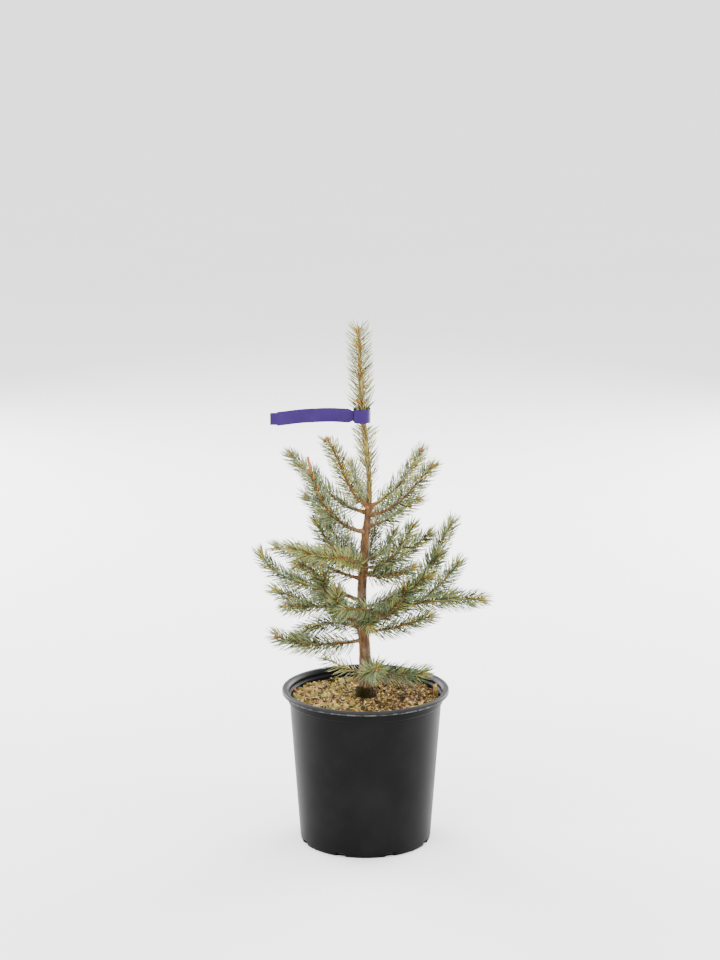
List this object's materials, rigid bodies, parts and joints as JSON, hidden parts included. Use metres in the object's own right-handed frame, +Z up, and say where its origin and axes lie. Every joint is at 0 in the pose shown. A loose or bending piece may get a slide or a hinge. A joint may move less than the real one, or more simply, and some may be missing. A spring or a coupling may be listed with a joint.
{
  "type": "potted baby blue colorado spruce",
  "caption": "Young potted blue spruce: one trunk to the tip, whorls of needle-covered boughs and a bare wrap label, in a round black nursery pot full of bark compost",
  "frame": {"origin": "the middle of the pot's flat underside, which stands on the floor", "axes": "+Z up along the trunk; +Y points away from the picture's camera; +X to its right"},
  "size_m": [0.3294, 0.23, 0.7261],
  "materials": {
    "pot": "black moulded plastic, satin with grey edge lights",
    "compost": "loose tan, brown and mossy bark chips",
    "bark": "rough tan-brown bark",
    "needles": "waxy blue-green needles on orange-brown twigs",
    "label": "bare violet plastic strip"
  },
  "bodies": {
    "root": {"bough_foot_left_back": "bark", "bough_foot_left_long": "bark", "bough_foot_right": "bark", "bough_low_back_left": "bark", "bough_low_back_right": "bark", "bough_low_left_far": "bark", "bough_low_left_near": "bark", "bough_low_right_near": "bark", "bough_mid_back_left": "bark", "bough_mid_back_right": "bark", "bough_mid_left": "bark", "bough_mid_left_far": "bark", "bough_mid_left_front": "bark", "bough_mid_right": "bark", "bough_mid_right_front": "bark", "bough_mid_right_low": "bark", "bough_upper_left_back": "bark", "bough_upper_left_front": "bark", "bough_upper_left_inner": "bark", "bough_upper_right_back": "bark", "bough_upper_right_front": "bark", "compost": "compost", "needles_base_front": "needles", "needles_base_left": "needles", "needles_base_right": "needles", "needles_foot_back": "needles", "needles_foot_front": "needles", "needles_foot_left_back": "needles", "needles_foot_left_long": "needles", "needles_foot_right": "needles", "needles_leader": "needles", "needles_low_back_left": "needles", "needles_low_back_right": "needles", "needles_low_left_far": "needles", "needles_low_left_near": "needles", "needles_low_right_near": "needles", "needles_low_right_short": "needles", "needles_mid_back": "needles", "needles_mid_back_left": "needles", "needles_mid_back_right": "needles", "needles_mid_left": "needles", "needles_mid_left_far": "needles", "needles_mid_left_front": "needles", "needles_mid_right": "needles", "needles_mid_right_front": "needles", "needles_mid_right_inner": "needles", "needles_mid_right_low": "needles", "needles_upper_back": "needles", "needles_upper_left_back": "needles", "needles_upper_left_front": "needles", "needles_upper_left_inner": "needles", "needles_upper_right_back": "needles", "needles_upper_right_front": "needles", "needles_upper_right_low": "needles", "pot": "pot", "trunk": "bark", "wrap_label": "label"}
  },
  "joints": []
}
